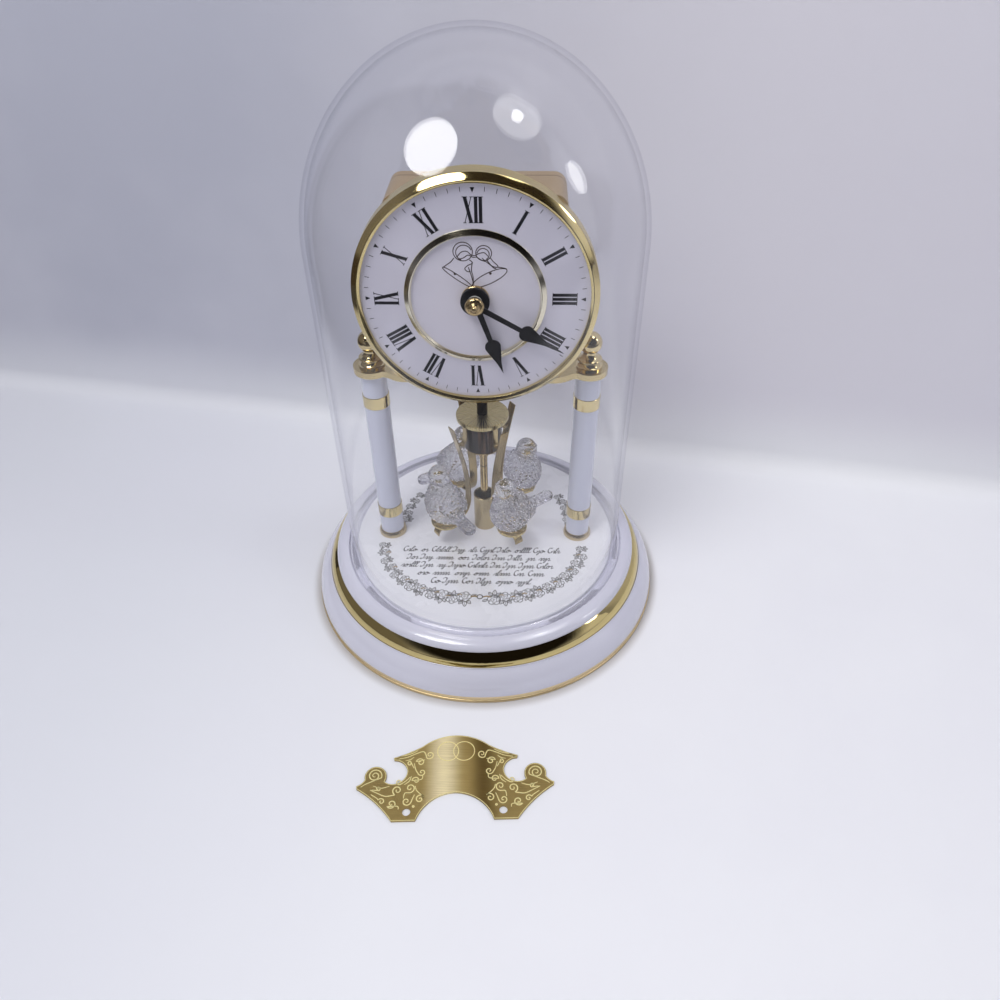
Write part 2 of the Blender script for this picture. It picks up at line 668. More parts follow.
def build_dome():
    inner_rise = DOME_RISE - DOME_WALL
    profile = [(DOME_INNER + 0.5, DOME_FOOT), (RIM_RADIUS - RIM_ROUND, DOME_FOOT)]
    profile += [(RIM_RADIUS - RIM_ROUND + RIM_ROUND * math.sin(t),
                 DOME_FOOT + RIM_ROUND - RIM_ROUND * math.cos(t)) for t in (0.4, 0.8, 1.2, 1.57)]
    # rolled top of the rim: distance in from its radius, height above the foot
    profile += [(RIM_RADIUS - inward, DOME_FOOT + height) for inward, height in (
        (0.0, 1.9), (0.12, 2.35), (0.45, 2.75), (1.0, 3.0), (1.4, 3.1))]
    profile += [(DOME_RADIUS, DOME_FOOT + 3.35)]
    profile += [(DOME_RADIUS, z) for z in DOME_LEVELS]
    profile += dome_cap(DOME_RADIUS, DOME_RISE) + [(0.0, DOME_SPRING + DOME_RISE)]
    profile += [(0.0, DOME_SPRING + inner_rise)] + dome_cap(DOME_INNER, inner_rise)[::-1]
    profile += [(DOME_INNER, z) for z in DOME_LEVELS[::-1]]
    profile += [(DOME_INNER, DOME_FOOT + 0.5), (DOME_INNER + 0.15, DOME_FOOT + 0.15)]
    mesh = lathe_mesh("dome_shell", profile, turns=224)
    add_piece("dome_shell", mesh, "dome_glass_thin", "dome", "glass_dome")


DIAL_Z = sum(corner[2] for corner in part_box("dial_plate")) / 2
# radius, distance in front of y = 0, in millimetres
BEZEL_PROFILE = [
    (40.8, 9.0), (42.2, 9.0), (42.38, 9.06), (42.5, 9.3), (42.5, 15.5), (42.46, 15.66),
    (42.36, 15.78), (40.62, 17.4), (40.52, 17.47), (40.4, 17.5), (40.28, 17.49), (40.16, 17.44),
    (39.5, 17.02), (39.43, 16.95), (39.4, 16.85), (39.4, 15.62), (40.8, 15.62),
]


def build_bezel():
    mesh = lathe_mesh("bezel_ring", BEZEL_PROFILE, turns=256)
    face_front = Matrix.Rotation(math.radians(90), 4, "X")
    mesh.transform(Matrix.Translation((0, 0, DIAL_Z)) @ face_front)
    mesh.set_sharp_from_angle(angle=math.radians(14))
    add_piece("bezel_ring", mesh, "bezel_brass_two_finish", "base", "bezel")


build_dome()
build_bezel()


# ------------------------------------------------------------------ flat print
class Sheet:
    """Thin flat shapes drawn in millimetres; place(u, w, height) puts a point in space."""

    def __init__(self, place, thickness, lift=0.0):
        self.place, self.thickness, self.lift = place, thickness, lift
        self.vertices, self.faces = [], []

    def add_layers(self, points):
        """Add the points on the lower and the upper face; return the first index."""
        first = len(self.vertices)
        for height in (self.lift, self.lift + self.thickness):
            self.vertices += [self.place(u, w, height) for u, w in points]
        return first

    def poly(self, points):
        n = len(points)
        area = sum(points[i][0] * points[(i + 1) % n][1] - points[(i + 1) % n][0] * points[i][1]
                   for i in range(n))
        if area < 0:
            points = points[::-1]
        b = self.add_layers(points)
        self.faces.append(tuple(range(b + n, b + 2 * n)))
        self.faces.append(tuple(reversed(range(b, b + n))))
        for i in range(n):
            j = (i + 1) % n
            self.faces.append((b + i, b + j, b + n + j, b + n + i))

    def stroke(self, line, half_width, closed=False):
        """Stroke along a line; half_width(share of the way, dx, dy) gives its half width."""
        n = len(line)
        left, right = [], []
        for i, (x, y) in enumerate(line):
            if closed:
                before, after = line[i - 1], line[(i + 1) % n]
            else:
                before, after = line[max(i - 1, 0)], line[min(i + 1, n - 1)]
            dx, dy = after[0] - before[0], after[1] - before[1]
            length = math.hypot(dx, dy) or 1.0
            half = half_width(i / (n - 1), dx, dy)
            side_x, side_y = -dy / length * half, dx / length * half
            left.append((x + side_x, y + side_y))
            right.append((x - side_x, y - side_y))
        # lower left, lower right, upper left, upper right edges
        b = self.add_layers(left + right)
        L0, R0, L1, R1 = b, b + n, b + 2 * n, b + 3 * n
        for i in range(n if closed else n - 1):
            j = (i + 1) % n
            self.faces += [(R1 + i, R1 + j, L1 + j, L1 + i), (L0 + i, L0 + j, R0 + j, R0 + i),
                           (L1 + i, L1 + j, L0 + j, L0 + i), (R0 + i, R0 + j, R1 + j, R1 + i)]
        if not closed:
            e = n - 1
            self.faces += [(L0, R0, R1, L1), (L1 + e, R1 + e, R0 + e, L0 + e)]

    def ribbon(self, points, width, taper=0.0, closed=False):
        """A stroke of even width, or thinning towards its ends by the taper."""
        line = [p for i, p in enumerate(points) if i == 0 or math.dist(p, points[i - 1]) > 1e-5]
        if closed and math.dist(line[0], line[-1]) < 1e-5:
            line = line[:-1]

        def half_width(share, dx, dy):
            return width * 0.5 * (1.0 - taper * (1.0 - math.sin(math.pi * share)))

        self.stroke(line, half_width, closed)

    def curves(self, lines, width, steps, taper=0.0):
        for points in lines:
            self.ribbon(smooth(points, steps), width, taper)

    def pen(self, points, thin, thick):
        """A stroke whose width follows its direction, like a broad nib held at 40 degrees."""
        def half_width(share, dx, dy):
            slant = abs(math.sin(math.atan2(dy, dx) - math.radians(40.0)))
            return (thin + (thick - thin) * slant ** 1.5) / 2

        self.stroke(points, half_width)

    def build(self, name, material, body):
        mesh = bpy.data.meshes.new(name)
        mesh.from_pydata(self.vertices, [], self.faces)
        mesh.validate()
        mesh.update()
        add_piece(name, mesh, material, body)


def circle(cx, cy, radius, steps, start=0.0, end=360.0):
    """Points of a circle or arc, from start to end in degrees."""
    angles = [math.radians(start + (end - start) * i / steps) for i in range(steps + 1)]
    return [(cx + radius * math.cos(a), cy + radius * math.sin(a)) for a in angles]


def oval(cx, cy, half_length, half_width, tilt, steps=40):
    tilt = math.radians(tilt)
    out = []
    for x, y in circle(0.0, 0.0, 1.0, steps):
        x, y = half_length * x, half_width * y
        out.append((cx + x * math.cos(tilt) - y * math.sin(tilt),
                    cy + x * math.sin(tilt) + y * math.cos(tilt)))
    return out


def smooth(points, steps):
    """Catmull-Rom curve through the points, with this many steps in each gap."""
    last, out = len(points) - 1, []
    for i in range(last):
        near = points[max(i - 1, 0)], points[i], points[i + 1], points[min(i + 2, last)]
        for k in range(steps):
            t = k / steps
            out.append(tuple(
                0.5 * (2 * b + (c - a) * t + (2 * a - 5 * b + 4 * c - e) * t * t
                       + (3 * b - a - 3 * c + e) * t ** 3)
                for a, b, c, e in zip(*near)))
    out.append(tuple(points[-1]))
    return out


# ------------------------------------------------------------------ dial print
DIAL_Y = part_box("dial_plate")[0].y
PRINT_THICKNESS = 0.03
NUMERAL_IN, NUMERAL_OUT = 26.3, 34.8    # radii of the numeral ring
STROKE, SERIF = 1.1, 0.24               # width of the I, thickness of a serif
SERIF_OUT = NUMERAL_OUT - SERIF
# letter: width, bars (x at the outer end, x at the inner end, width),
# serifs (x, half width, inner edge)
LETTERS = {
    "I": (1.5, [(0.0, 0.0, STROKE)],
          [(0.0, STROKE / 2 + 0.3, NUMERAL_IN), (0.0, STROKE / 2 + 0.3, SERIF_OUT)]),
    "V": (3.3, [(-1.05, 0.1, 1.15), (1.2, 0.3, 0.26)],
          [(-1.05, 0.95, SERIF_OUT), (1.2, 0.55, SERIF_OUT)]),
    "X": (3.5, [(-1.0, 1.0, 1.15), (1.1, -1.1, 0.26)],
          [(-1.0, 0.9, SERIF_OUT), (1.0, 0.9, NUMERAL_IN),
           (1.1, 0.5, SERIF_OUT), (-1.1, 0.5, NUMERAL_IN)]),
}
NUMERALS = "I II III IIII V VI VII VIII IX X XI XII".split()
HOUR_MARKER = [(-0.72, 37.7), (0.72, 37.7), (0.0, 36.0)]
MINUTE_TICK = [(-0.1, 36.5), (0.1, 36.5), (0.1, 38.0), (-0.1, 38.0)]


def on_dial(u, w, height):
    return (u * MM, DIAL_Y - height * MM, DIAL_Z + w * MM)


def turned(points, clockwise):
    a = math.radians(-clockwise)
    return [(x * math.cos(a) - y * math.sin(a), x * math.sin(a) + y * math.cos(a))
            for x, y in points]


def letter_shapes(letter, cx):
    _, bars, serifs = LETTERS[letter]
    for x_out, x_in, width in bars:
        x_out, x_in, half = cx + x_out, cx + x_in, width / 2
        yield [(x_out - half, NUMERAL_OUT), (x_out + half, NUMERAL_OUT),
               (x_in + half, NUMERAL_IN), (x_in - half, NUMERAL_IN)]
    for x, half, y in serifs:
        x += cx
        yield [(x - half, y), (x + half, y), (x + half, y + SERIF), (x - half, y + SERIF)]


def build_numerals():
    """Roman numerals, hour markers and minute ticks."""
    sheet = Sheet(on_dial, PRINT_THICKNESS)
    for hour, text in enumerate(NUMERALS, start=1):
        x = -sum(LETTERS[letter][0] for letter in text) / 2
        shapes = []
        for letter in text:
            width = LETTERS[letter][0]
            shapes += letter_shapes(letter, x + width / 2)
            x += width
        for k, shape in enumerate(shapes):
            # small steps keep overlapping shapes from sharing a plane
            sheet.lift = 0.0006 * (k % 5)
            sheet.poly(turned(shape, hour * 30.0))
    sheet.lift = 0.0
    for minute in range(60):
        sheet.poly(turned(MINUTE_TICK if minute % 5 else HOUR_MARKER, minute * 6.0))
    sheet.build("dial_numerals", "numeral_ink", "base")


MOTIF_LINE = 0.31
BELL_CURVES = [
    [(10.7, 10.9), (8.6, 11.4), (6.4, 11.6), (4.6, 12.8), (2.6, 14.6)],
    [(-0.7, 4.9), (-0.5, 7.6), (-1.0, 10.4), (-0.6, 13.2)],
    [(-10.5, 11.3), (-9.2, 12.2), (-7.8, 13.2), (-6.7, 14.6)],
    [(-0.4, 5.2), (-1.0, 8.0), (-2.0, 11.4)],
]
BOW_CURVES = [
    [(-5.6, 15.0), (-4.2, 16.6), (-2.4, 16.9), (-1.0, 15.7), (0.3, 15.5), (1.8, 16.2),
     (3.4, 16.4), (4.6, 15.2)],
    [(-5.2, 14.2), (-3.6, 14.6), (-2.0, 15.6), (-0.4, 14.9), (0.9, 14.9), (2.2, 14.0),
     (3.6, 13.4)],
    [(-1.6, 14.0), (-0.6, 12.9), (-2.2, 12.0), (-3.2, 10.9), (-2.4, 9.9), (-1.3, 9.8)],
    [(5.2, 14.9), (6.4, 13.3), (7.6, 12.2), (7.9, 11.4)],
    [(4.2, 13.9), (5.3, 12.4), (6.4, 11.2), (7.3, 11.0)],
]


def build_dial_ornament():
    """Two plain bells under a round ribbon bow."""
    sheet = Sheet(on_dial, PRINT_THICKNESS)
    sheet.ribbon(oval(5.0, 7.6, 6.5, 1.9, tilt=27.0), MOTIF_LINE, closed=True)
    sheet.ribbon(oval(-5.8, 7.8, 6.0, 0.8, tilt=-36.0), MOTIF_LINE, closed=True)
    sheet.curves(BELL_CURVES, MOTIF_LINE, steps=8)
    for cx, cy in ((-6.6, 9.0), (5.3, 9.2)):
        sheet.ribbon(circle(cx, cy, 0.24, steps=12), 0.42, closed=True)
    sheet.ribbon(circle(-3.7, 16.8, 3.2, steps=36), MOTIF_LINE, closed=True)
    sheet.ribbon(circle(-3.4, 16.4, 2.6, steps=28, start=20, end=250), MOTIF_LINE)
    sheet.ribbon(circle(3.2, 16.3, 2.6, steps=32), MOTIF_LINE, closed=True)
    sheet.ribbon(circle(3.0, 15.9, 2.0, steps=26, start=-60, end=170), MOTIF_LINE)
    sheet.curves(BOW_CURVES, MOTIF_LINE, steps=8)
    sheet.build("dial_ornament", "motif_ink", "base")


build_numerals()
build_dial_ornament()

# ------------------------------------------------------------------ floor print
FLOOR_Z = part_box("floor_disc")[1].z
GARLAND_LINE = 0.31
rnd = random.Random(7)


def on_floor(u, w, height):
    return (u * MM, w * MM, FLOOR_Z + height * MM)


def polar(x, y, distance, degrees):
    a = math.radians(degrees)
    return x + distance * math.cos(a), y + distance * math.sin(a)


def bloom(sheet, cx, cy, r, spin):
    """A rose seen from above: overlapping outer petals, inner petals, a coiled heart."""
    for k in range(5):
        a = spin + k * 360.0 / 5
        petal = r * rnd.uniform(0.46, 0.54)
        sheet.ribbon(circle(*polar(cx, cy, r * 0.50, a), petal, 12, a - 112, a + 100),
                     GARLAND_LINE, taper=0.2)
    for k in range(3):
        a = spin + 40 + k * 120.0
        sheet.ribbon(circle(*polar(cx, cy, r * 0.16, a), r * 0.34, 9, a - 80, a + 90),
                     GARLAND_LINE * 0.85, taper=0.2)
    sheet.ribbon(circle(cx, cy, r * 0.15, 8, spin, spin + 270), GARLAND_LINE * 0.8)


def leaf(sheet, x, y, degrees, length):
    a = math.radians(degrees)
    ux, uy = math.cos(a), math.sin(a)

    def at(along, aside):
        along, aside = along * length, aside * length
        return (x + ux * along - uy * aside, y + uy * along + ux * aside)

    for side in (1, -1):
        edge = [at(0, 0), at(0.35, side * 0.27), at(0.7, side * 0.18), at(1, 0)]
        sheet.ribbon(smooth(edge, 4), GARLAND_LINE, taper=0.2)
    sheet.ribbon([at(0.1, 0), at(0.75, 0)], GARLAND_LINE * 0.6)


def vine(sheet, points, first_radius, last_radius, step, swing):
    """Blooms and leaves spaced by about the step, swinging from side to side of a path."""
    path = smooth(points, 12)
    run = [0.0]
    for a, b in zip(path, path[1:]):
        run.append(run[-1] + math.dist(a, b))
    total = run[-1]
    count = max(2, round(total / step))
    for k in range(count):
        reach = total * (k + 0.5) / count
        i = next(j for j in range(len(run)) if run[j] >= reach)
        (x, y), (x0, y0) = path[i], path[max(i - 1, 0)]
        heading = math.degrees(math.atan2(y - y0, x - x0))
        r = first_radius + (last_radius - first_radius) * (reach / total)
        r *= rnd.uniform(0.92, 1.08)
        side = 1 if k % 2 else -1
        out_x = -math.sin(math.radians(heading)) * side
        out_y = math.cos(math.radians(heading)) * side
        bloom(sheet, x + out_x * swing * 0.7, y + out_y * swing * 0.7, r, rnd.uniform(0, 70))
        for turn, size in ((-90, 1.15), (-52, 0.95), (-128, 0.95)):
            toward = heading + turn * side
            leaf(sheet, *polar(x, y, 0.55 * r, toward), toward, r * size)
        leaf(sheet, *polar(x, y, 1.05 * r, heading + 20 * side), heading + 24 * side, r * 0.85)


FRONT_VINES = [     # left, then right
    [(-44.0, -7.6), (-44.2, -13.0), (-42.6, -19.0), (-39.2, -25.4), (-34.4, -31.0),
     (-28.0, -35.8), (-20.0, -39.4), (-11.0, -41.4), (-4.4, -41.4)],
    [(43.4, -8.4), (43.4, -13.6), (41.6, -19.4), (38.2, -25.6), (33.4, -31.0),
     (27.2, -35.6), (19.2, -39.2), (10.2, -41.2), (3.6, -41.2)],
]
BACK_VINES = [      # left, then right
    [(-30.4, 26.2), (-33.4, 21.5), (-35.8, 15.5), (-36.8, 9.5), (-36.4, 5.0)],
    [(33.2, 26.4), (35.4, 21.5), (37.2, 15.5), (38.2, 9.5), (38.0, 6.2)],
]
# centres of the short gilt strokes on the right; the left ones mirror them
GILT_CENTRES = [(8.8, -39.6), (13.6, -40.4), (18.4, -38.4), (24.5, -36.4), (31.6, -31.4),
                (38.0, -24.0), (42.0, -15.0)]


def build_garland():
    """Four vines of small blooms, a ring where the front pair meets, and gilt strokes."""
    ink = Sheet(on_floor, thickness=0.02)
    for points in FRONT_VINES:
        vine(ink, points, 1.75, 2.75, step=4.9, swing=1.25)
    for points in BACK_VINES:
        vine(ink, points, 1.5, 1.9, step=4.4, swing=0.9)
    ink.ribbon(circle(-0.3, -40.6, 1.15, steps=24), 0.42, closed=True)
    gilt = Sheet(on_floor, thickness=0.021, lift=0.001)
    for s in (-1, 1):
        gilt.curves([[(s * 1.3 - 0.3, -40.7), (s * 2.6, -40.2), (s * 4.2, -40.8)]],
                    0.7, steps=6, taper=0.3)
        gilt.curves([[(s * x - 1.1, y - 0.3), (s * x, y + 0.35), (s * x + 1.1, y - 0.1)]
                     for x, y in GILT_CENTRES], 0.5, steps=5, taper=0.5)
    ink.build("floor_garland", "garland_ink", "base")
    gilt.build("floor_garland_gilt", "garland_gold", "base")


# y, left end, right end
SCRIPT_ROWS = [(-14.0, -36.0, 34.8), (-18.8, -33.6, 31.4), (-23.5, -36.2, 34.0),
               (-28.2, -28.6, 27.8), (-33.0, -22.0, 22.0)]
PEN_THIN = 0.2
SLANT = 0.42
ARCH_HEIGHT, ROUND_HEIGHT, LOOP_HEIGHT = 1.5, 1.45, 3.0
ARCH_LEAN, LOOP_LEAN = ARCH_HEIGHT * SLANT, LOOP_HEIGHT * SLANT
# pen shapes: points from the pen's place, then how far it moves on
BIG_SHAPES = [
    ([(-0.7, 2.3), (0.1, 3.1), (1.0, 2.7), (0.6, 1.2), (-0.2, 0.1), (-0.9, 0.2), (-0.5, 0.9)],
     1.1),
    ([(1.6, 2.9), (0.7, 3.1), (-0.2, 2.0), (-0.4, 0.7), (0.2, 0), (1.0, 0.4), (1.3, 1.2)], 1.4),
]
ARCH = ([(ARCH_LEAN * 0.6, ARCH_HEIGHT * 0.75), (ARCH_LEAN + 0.25, ARCH_HEIGHT),
         (0.55 + ARCH_LEAN * 0.6, ARCH_HEIGHT * 0.55), (0.55, 0.15), (0.85, 0)], 1.15)
ROUND = ([(0.2, 0.7), (0.9, ROUND_HEIGHT), (0.2, 0.8), (0.25, 0.1), (0.9, 0.1), (1.25, 0.8),
          (0.95, ROUND_HEIGHT), (1.5, 1.2)], 1.65)
LOOP = ([(0.5, 1.2), (LOOP_LEAN + 0.5, LOOP_HEIGHT * 0.9), (LOOP_LEAN + 0.1, LOOP_HEIGHT),
         (0.45, 1.3), (0.2, 0.2), (0.6, 0)], 0.95)
HOOK = ([(0.5, 1.1), (0.9, 1.5), (0.6, 0.4), (-0.1, -1.1), (-0.6, -1.2), (-0.1, -0.5),
         (0.9, 0.3)], 1.1)
SMALL_SHAPES = (ARCH, ARCH, ARCH, ROUND, LOOP, ARCH, HOOK)


def shifted(points, x, y):
    return [(x + dx, y + dy) for dx, dy in points]


def flourish(sheet, x, y, width):
    """One run of the pen, sometimes after a big first shape; returns where it ends."""
    pick = rnd.random()
    pen_x = x
    if pick < 0.6:
        points, advance = BIG_SHAPES[0 if pick < 0.34 else 1]
        sheet.pen(smooth(shifted(points, x, y), 4), PEN_THIN, thick=0.6)
        pen_x = x + advance
    line = [(pen_x - 0.5, y + 0.1)]
    while pen_x < x + width:
        points, advance = rnd.choice(SMALL_SHAPES)
        line += shifted(points, pen_x, y)
        pen_x += advance
    line.append((pen_x + 0.5, y + 0.5))
    sheet.pen(smooth(line, 4), PEN_THIN, thick=0.56)
    return pen_x + 0.5


def build_flourishes():
    """Rows of pen flourishes: slanted arches and loops that spell nothing."""
    sheet = Sheet(on_floor, thickness=0.02)
    for y, left, right in SCRIPT_ROWS:
        x = left + 1.0
        while x < right - 2.5:
            width = min(rnd.uniform(2.4, 7.0), right - x - 1.6)
            x = flourish(sheet, x, y, width) + rnd.uniform(1.5, 2.0)
    sheet.build("floor_flourishes", "script_ink", "base")


build_garland()
build_flourishes()

# ------------------------------------------------------------------ crest engraving
CREST_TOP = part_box("crest_plate")[1].z
CREST_TURN = Matrix.Rotation(math.radians(3.0), 3, "Z")
# right half of the outline, front to back: corners, and "arc" with a point the arc
# passes through on its way to the next corner
CREST_HALF = [
    (0.0, 10.5), ("arc", 9.6, 6.75), (14.1, 0.0), (22.7, 0.0), ("arc", 28.8, 7.0),
    (36.3, 12.7), (36.5, 13.9), ("arc", 34.7, 14.9), (33.6, 16.3), ("arc", 29.7, 21.6),
    (26.2, 15.4), ("arc", 20.6, 15.0), (18.0, 19.6), ("arc", 19.6, 22.7), (23.2, 24.1),
    (23.5, 25.1), ("arc", 18.2, 27.0), (12.65, 29.75), ("arc", 6.6, 33.1), (0.0, 34.2),
]
# centre x, centre y, radius, start angle, turns, hand (1 anticlockwise), tail points
CREST_SCROLLS = [
    (9.9, 26.0, 1.7, 200, 1.3, 1, [(12.2, 27.4), (15.2, 26.6), (18.4, 25.2), (21.6, 24.6)]),
    (13.3, 23.0, 1.7, 120, 1.3, -1, [(11.6, 24.0)]),
    (12.6, 18.9, 1.5, 250, 1.25, 1, [(15.0, 20.2), (15.6, 22.6)]),
    (14.6, 15.6, 1.5, 90, 1.25, -1, [(12.6, 16.0), (12.2, 17.6)]),
    (16.6, 12.6, 1.9, 160, 1.35, 1, [(18.4, 10.6), (18.8, 8.6)]),
    (21.2, 11.8, 1.9, 60, 1.35, -1, [(23.2, 9.8), (25.6, 9.6), (28.4, 10.8), (31.2, 12.2)]),
    (12.8, 8.2, 1.7, 20, 1.35, 1, [(14.0, 11.4), (14.8, 13.4)]),
    (17.6, 7.4, 1.7, 300, 1.3, -1, [(15.4, 8.6), (14.8, 10.0)]),
    (23.0, 6.6, 1.8, 200, 1.35, 1, [(20.8, 5.6), (20.4, 4.4)]),
    (26.8, 7.6, 1.3, 100, 1.2, -1, [(28.6, 9.0), (30.8, 10.4)]),
    (28.4, 12.6, 0.9, 200, 1.1, 1, [(30.6, 12.2)]),
    (20.8, 15.2, 1.2, 300, 1.2, -1, [(18.4, 15.4), (16.8, 17.0)]),
    (17.2, 22.6, 1.0, 60, 1.1, 1, [(15.6, 20.6)]),
    (30.0, 17.9, 2.7, 235, 1.9, 1, [(33.0, 14.6), (34.8, 13.4)]),
]
CREST_STROKES = [
    [(14.4, 28.0), (16.4, 26.9), (18.8, 26.1), (21.4, 25.6)],
    [(15.8, 25.2), (17.2, 24.2), (19.0, 23.8)],
    [(16.4, 17.4), (17.0, 15.4), (18.8, 14.0)],
    [(24.2, 13.6), (27.2, 12.8), (30.4, 13.8)],
]


def on_crest(u, w, height):
    p = CREST_TURN @ Vector((u * MM, w * MM, 0))
    return (p.x + CREST_X, p.y + CREST_Y, CREST_TOP + height * MM)


def three_point_arc(a, b, c, steps=10):
    """Points of the arc from a through b to c, leaving out a."""
    (x1, y1), (x2, y2), (x3, y3) = a, b, c
    q1, q2, q3 = x1 * x1 + y1 * y1, x2 * x2 + y2 * y2, x3 * x3 + y3 * y3
    d = 2 * (x1 * (y2 - y3) + x2 * (y3 - y1) + x3 * (y1 - y2))
    cx = (q1 * (y2 - y3) + q2 * (y3 - y1) + q3 * (y1 - y2)) / d
    cy = (q1 * (x3 - x2) + q2 * (x1 - x3) + q3 * (x2 - x1)) / d
    r = math.hypot(x1 - cx, y1 - cy)
    start, end = math.atan2(y1 - cy, x1 - cx), math.atan2(y3 - cy, x3 - cx)
    if (x2 - x1) * (y3 - y1) - (y2 - y1) * (x3 - x1) > 0:
        while end < start:
            end += 2 * math.pi
    else:
        while end > start:
            end -= 2 * math.pi
    angles = [start + (end - start) * i / steps for i in range(1, steps + 1)]
    return [(cx + r * math.cos(t), cy + r * math.sin(t)) for t in angles]


def crest_border(inset=0.22):
    """The whole crest outline, moved inwards by the inset."""
    half = []
    entries = iter(CREST_HALF)
    for entry in entries:
        if entry[0] == "arc":
            half += three_point_arc(half[-1], entry[1:], next(entries))
        else:
            half.append(entry)
    whole = half + [(-x, y) for x, y in half[-2:0:-1]]
    out = []
    for i, (x, y) in enumerate(whole):
        (xa, ya), (xb, yb) = whole[i - 1], whole[(i + 1) % len(whole)]
        length = math.hypot(xb - xa, yb - ya) or 1.0
        out.append((x - (yb - ya) / length * inset, y + (xb - xa) / length * inset))
    return out


def scroll(sheet, side, cx, cy, radius, start, turns, hand, tail):
    """Spiral opening outwards into a tail; side -1 mirrors it to the left."""
    if side < 0:
        start, hand = 180 - start, -hand
    cx *= side
    steps = int(22 * turns)
    points = []
    for i in range(steps + 1):
        t = i / steps
        r = radius * (0.12 + 0.88 * t)
        a = math.radians(start) + hand * 2 * math.pi * turns * t
        points.append((cx + r * math.cos(a), cy + r * math.sin(a)))
    tail = [(side * x, y) for x, y in tail]
    sheet.ribbon(points + smooth([points[-1]] + tail, 6)[1:], 0.44, taper=0.35)


def build_crest_engraving():
    sheet = Sheet(on_crest, thickness=0.015)
    sheet.ribbon(crest_border(), 0.24, closed=True)
    for cx in (-3.0, 3.1):
        sheet.ribbon(circle(cx, 27.4, 4.0, steps=44), 0.36, closed=True)
    for side in (-1, 1):
        for entry in CREST_SCROLLS:
            scroll(sheet, side, *entry)
        sheet.curves([[(side * x, y) for x, y in line] for line in CREST_STROKES],
                     0.34, steps=6, taper=0.4)
        sheet.ribbon(circle(side * 15.0, 5.4, 0.3, steps=12), 0.4, closed=True)
        sheet.ribbon(circle(side * 17.0, 27.4, 0.2, steps=10), 0.3, closed=True)
    sheet.build("crest_engraving", "engraving_bright", "crest")


build_crest_engraving()

# ------------------------------------------------------------------ crystal birds
# Bird frame in millimetres: standing on z = 0, looking along +X.
HEAD = (3.4, 0, 23.0)
TAIL_END_X, TAIL_Z, TAIL_THICKNESS = -18.9, 8.4, 2.2
# centre, radii, tilt about Y
BIRD_BALLS = [
    ((0.5, 0, 9.7), (9.5, 8.2, 9.6), 0.0),          # body
    ((2.0, 0, 12.6), (7.0, 6.6, 8.2), 0.25),        # breast
    ((3.3, 0, 18.6), (4.5, 4.6, 4.6), 0.0),         # neck
    (HEAD, (4.8, 4.55, 4.75), 0.0),
    ((-6.2, 0, 8.6), (6.4, 4.6, 3.9), -0.12),       # rump
    ((-11.8, 0, 8.3), (6.4, 2.6, 1.6), 0.0),        # root of the tail
    ((-1.0, 5.6, 11.0), (7.4, 2.3, 5.4), -0.22),    # wings
    ((-1.0, -5.6, 11.0), (7.4, 2.3, 5.4), -0.22),
]
ARM_AZIMUTH = 37.3      # the back right arm; the others follow at quarter turns
PERCH_RADIUS, TRAY_TOP = 0.0207, 0.03595
PENDULUM_Y = sum(corner[1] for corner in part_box("pendulum_disc")) / 2


def bird_blank():
    """The bird's solids joined, remeshed and smoothed into one skin."""
    parts = []

    def keep(location, tilt=0.0, scale=(1, 1, 1)):
        part = bpy.context.active_object
        part.scale = scale
        part.rotation_euler = (0, tilt, 0)
        part.location = location
        parts.append(part)

    for centre, radii, tilt in BIRD_BALLS:
        bpy.ops.mesh.primitive_uv_sphere_add(segments=64, ring_count=40, radius=1.0)
        keep(centre, tilt, radii)
    # beak, then the flat tail and its round end
    bpy.ops.mesh.primitive_cone_add(vertices=40, radius1=1.7, radius2=0.3, depth=3.6)
    keep((8.6, 0, 22.5), tilt=math.radians(98))
    bpy.ops.mesh.primitive_cube_add(size=1.0)
    keep((-14.2, 0, TAIL_Z), scale=(9.6, 5.4, TAIL_THICKNESS))
    bpy.ops.mesh.primitive_cylinder_add(vertices=48, radius=2.7, depth=TAIL_THICKNESS)
    keep((TAIL_END_X, 0, TAIL_Z))

    bpy.ops.object.select_all(action="DESELECT")
    for part in parts:
        part.select_set(True)
    bpy.context.view_layer.objects.active = parts[0]
    bpy.ops.object.transform_apply(location=True, rotation=True, scale=True)
    bpy.ops.object.join()
    solid = bpy.context.active_object
    remesh = solid.modifiers.new("rm", "REMESH")
    remesh.mode, remesh.voxel_size = "VOXEL", 0.28
    relax = solid.modifiers.new("sm", "SMOOTH")
    relax.factor, relax.iterations = 0.5, 10
    depsgraph = bpy.context.evaluated_depsgraph_get()
    mesh = bpy.data.meshes.new_from_object(solid.evaluated_get(depsgraph))
    bpy.data.objects.remove(solid)
    return mesh


def unit(value):
    return min(max(value, 0.0), 1.0)


